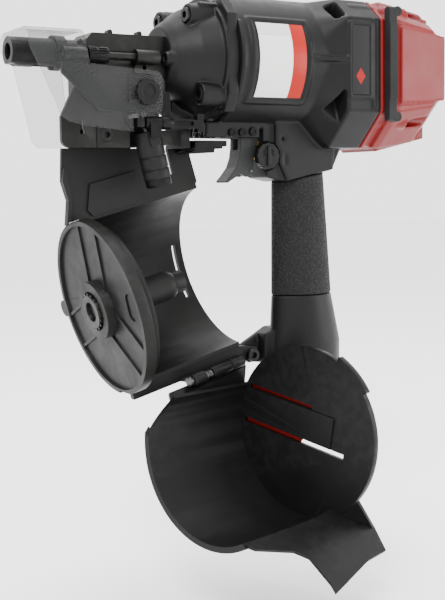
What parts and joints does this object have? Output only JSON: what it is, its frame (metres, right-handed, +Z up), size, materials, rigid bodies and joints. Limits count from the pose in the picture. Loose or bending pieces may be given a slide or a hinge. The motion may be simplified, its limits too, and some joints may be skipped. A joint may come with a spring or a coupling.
{
  "type": "pneumatic coil nail gun",
  "caption": "Pneumatic coil nail gun with an open drum magazine, pistol grip, squared rear cap, sprung contact nose and clear shield.",
  "frame": {"origin": "centre of the mouth of the contact tip, where the nail leaves", "axes": "+X back along the drive axis, away from the work; +Z up, away from the grip; +Y to the side away from the magazine door"},
  "size_m": [0.344, 0.2069, 0.3999],
  "materials": {
    "body_paint": "black satin powder coat with a fine grain on a light alloy casting",
    "cap_red": "red satin powder coat on a light alloy casting",
    "rubber_black": "matt black rubber",
    "grip_rubber": "pebbled soft black rubber",
    "nose_steel": "phosphated grey-green steel, satin",
    "black_steel": "black oxide steel",
    "bright_steel": "zinc plated steel",
    "screw_black": "black oxide socket screws",
    "spring_steel": "bright spring wire",
    "aluminium": "hard anodised aluminium",
    "brass": "brass",
    "nylon_grey": "dark grey glass-filled nylon, satin",
    "nylon_black": "black moulded nylon, satin",
    "trigger_grey": "grey cast trigger",
    "strip_red": "red plastic strip",
    "clear_sheet": "clear light grey plastic sheet",
    "label_white": "white film label with an orange band and no lettering",
    "badge_black": "blank black badge with a round red disc"
  },
  "bodies": {
    "frame": {"housing": "body_paint", "nose_flange": "body_paint", "flange_screws": "screw_black", "nose_body": "nose_steel", "nose_cover": "nose_steel", "nose_cover_screw": "screw_black", "contact_arm_spring": "spring_steel", "shield": "clear_sheet", "shield_knob": "nylon_black", "latch_pin": "black_steel", "feed_cylinder": "body_paint", "feed_end_cap": "black_steel", "feed_spring": "spring_steel", "cylinder_liner": "aluminium", "liner_seals": "rubber_black", "drive_bumper": "rubber_black", "head_valve_spring": "spring_steel", "cap_gasket": "rubber_black", "rear_cap": "cap_red", "cap_screws": "screw_black", "exhaust_screw": "screw_black", "bumper_bars": "rubber_black", "info_label": "label_white", "badge_plate": "badge_black", "grip_sleeve": "grip_rubber", "trigger_pins": "black_steel", "trigger_spring": "spring_steel", "valve_housing": "brass", "valve_spring": "spring_steel", "handle_end_cap": "body_paint", "end_cap_screws": "screw_black", "air_plug": "brass", "magazine_shell": "nylon_grey", "magazine_front_disc": "nylon_grey", "tray_knob": "nose_steel", "door_hinge_pin": "bright_steel", "door_hinge_spring": "spring_steel", "magazine_screws": "screw_black"},
    "contact": {"contact_tip": "black_steel", "contact_arm": "black_steel", "adjuster_rod": "nose_steel"},
    "wheel": {"depth_wheel": "black_steel"},
    "latch": {"latch_lever": "black_steel"},
    "feed": {"feed_piston": "bright_steel", "feed_pawl_pin": "bright_steel"},
    "pawl": {"feed_pawl": "bright_steel"},
    "driver": {"piston": "aluminium", "piston_ring": "rubber_black", "driver_blade": "bright_steel"},
    "head_valve": {"head_valve": "nylon_black"},
    "exhaust": {"exhaust_cover": "nylon_black"},
    "trigger": {"trigger": "trigger_grey", "lever_pin": "bright_steel"},
    "contact_lever": {"contact_lever": "bright_steel"},
    "stem": {"valve_stem": "bright_steel"},
    "dial": {"mode_dial": "nylon_black"},
    "tray": {"nail_tray": "nylon_grey"},
    "door": {"magazine_door": "nylon_black", "door_sight_strip": "strip_red"}
  },
  "joints": [
    {"name": "contact_press", "type": "slide", "parent": "frame", "child": "contact", "axis": [1, 0, 0], "range_m": [0, 0.012], "stiffness_N_per_m": 300, "springref_m": -0.004, "deforming": ["contact_arm_spring"]},
    {"name": "depth_wheel_turn", "type": "hinge", "parent": "contact", "child": "wheel", "pos_m": [0.054, -0.019, -0.002], "axis": [1, 0, 0], "continuous": true},
    {"name": "latch_release", "type": "hinge", "parent": "frame", "child": "latch", "pos_m": [0.096, -0.023, -0.0456], "axis": [1, 0, 0], "range_deg": [-35, 0], "stiffness_Nm_per_rad": 0.05, "springref_deg": 11.46},
    {"name": "feed_stroke", "type": "slide", "parent": "frame", "child": "feed", "axis": [-0.2419, 0, 0.9703], "range_m": [-0.008, 0], "stiffness_N_per_m": 500, "springref_m": 0.004, "deforming": ["feed_spring"]},
    {"name": "pawl_pivot", "type": "hinge", "parent": "feed", "child": "pawl", "pos_m": [0.08287, -0.0084, -0.04182], "axis": [0.9703, 0, 0.2419], "range_deg": [0, 25], "stiffness_Nm_per_rad": 0.01, "springref_deg": -11.46},
    {"name": "drive_stroke", "type": "slide", "parent": "frame", "child": "driver", "axis": [1, 0, 0], "range_m": [-0.104, 0]},
    {"name": "head_valve_lift", "type": "slide", "parent": "frame", "child": "head_valve", "axis": [1, 0, 0], "range_m": [0, 0.004], "stiffness_N_per_m": 2000, "springref_m": -0.004, "deforming": ["head_valve_spring"]},
    {"name": "exhaust_turn", "type": "hinge", "parent": "frame", "child": "exhaust", "pos_m": [0.335, 0, 0], "axis": [1, 0, 0], "continuous": true},
    {"name": "trigger_pull", "type": "hinge", "parent": "frame", "child": "trigger", "pos_m": [0.178, 0, -0.05], "axis": [0, -1, 0], "range_deg": [0, 8], "stiffness_Nm_per_rad": 0.6, "springref_deg": -11.46, "deforming": ["valve_spring"]},
    {"name": "contact_lever_tip", "type": "hinge", "parent": "trigger", "child": "contact_lever", "pos_m": [0.18, 0, -0.0782], "axis": [0, 1, 0], "range_deg": [0, 12]},
    {"name": "valve_stem_push", "type": "slide", "parent": "frame", "child": "stem", "axis": [1, 0, 0], "range_m": [0, 0.00168]},
    {"name": "mode_dial_turn", "type": "hinge", "parent": "frame", "child": "dial", "pos_m": [0.1895, -0.014, -0.0675], "axis": [0, -1, 0], "range_deg": [0, 90]},
    {"name": "tray_height", "type": "slide", "parent": "frame", "child": "tray", "axis": [0.9703, 0, 0.2419], "range_m": [0, 0.025]},
    {"name": "magazine_door_swing", "type": "hinge", "parent": "frame", "child": "door", "pos_m": [0.12769, -0.007, -0.22779], "axis": [0.9655, 0.1905, 0.1778], "range_deg": [-130, 0]}
  ],
  "couplings": [
    {"joint": "contact_lever_tip", "follows": "contact_press", "rad_per_m": 17.4},
    {"joint": "valve_stem_push", "follows": "trigger_pull", "m_per_rad": 0.012}
  ]
}
